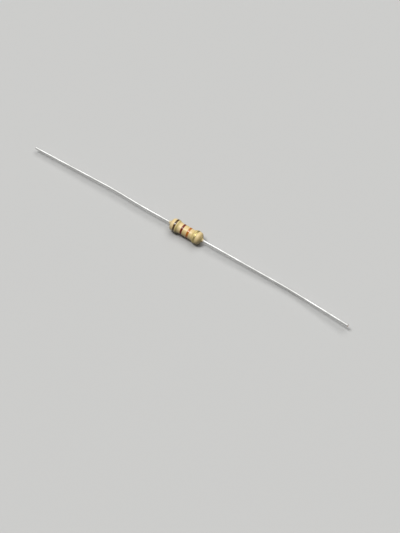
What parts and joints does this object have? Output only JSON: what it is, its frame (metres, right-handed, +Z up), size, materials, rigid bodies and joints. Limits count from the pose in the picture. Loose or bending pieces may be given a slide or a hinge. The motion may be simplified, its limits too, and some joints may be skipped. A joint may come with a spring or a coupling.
{
  "type": "axial resistor",
  "caption": "Small wire-ended resistor: a beige dog-bone body with colour rings and a nearly straight, bare wire lead out of each end, lying on its side.",
  "frame": {"origin": "on the surface that the resistor lies on, straight below the middle of its body", "axes": "+X along the body's axis towards the end with the gold tolerance band, +Z up, and -Y is the front"},
  "size_m": [0.0624, 0.0022, 0.0023],
  "materials": {
    "ceramic": "fired, unglazed, matte white",
    "carbon": "thin grey-black carbon skin",
    "cap_metal": "drawn, tin plated",
    "tinned_wire": "bright tin plate, faintly drawn along its length",
    "beige_coat": "dipped lacquer, satin to gloss, slightly uneven",
    "brown_paint": "printed paint ring, dark brown",
    "red_paint": "printed paint ring, dark red",
    "orange_paint": "printed paint ring, orange",
    "gold_paint": "printed paint ring with metallic flake, olive gold"
  },
  "bodies": {
    "root": {"ceramic_rod": "ceramic", "carbon_film": "carbon", "end_cap_left": "cap_metal", "end_cap_right": "cap_metal", "lead_left": "tinned_wire", "lead_right": "tinned_wire", "coating": "beige_coat", "brown_band": "brown_paint", "red_band": "red_paint", "orange_band": "orange_paint", "gold_band": "gold_paint"}
  },
  "joints": []
}
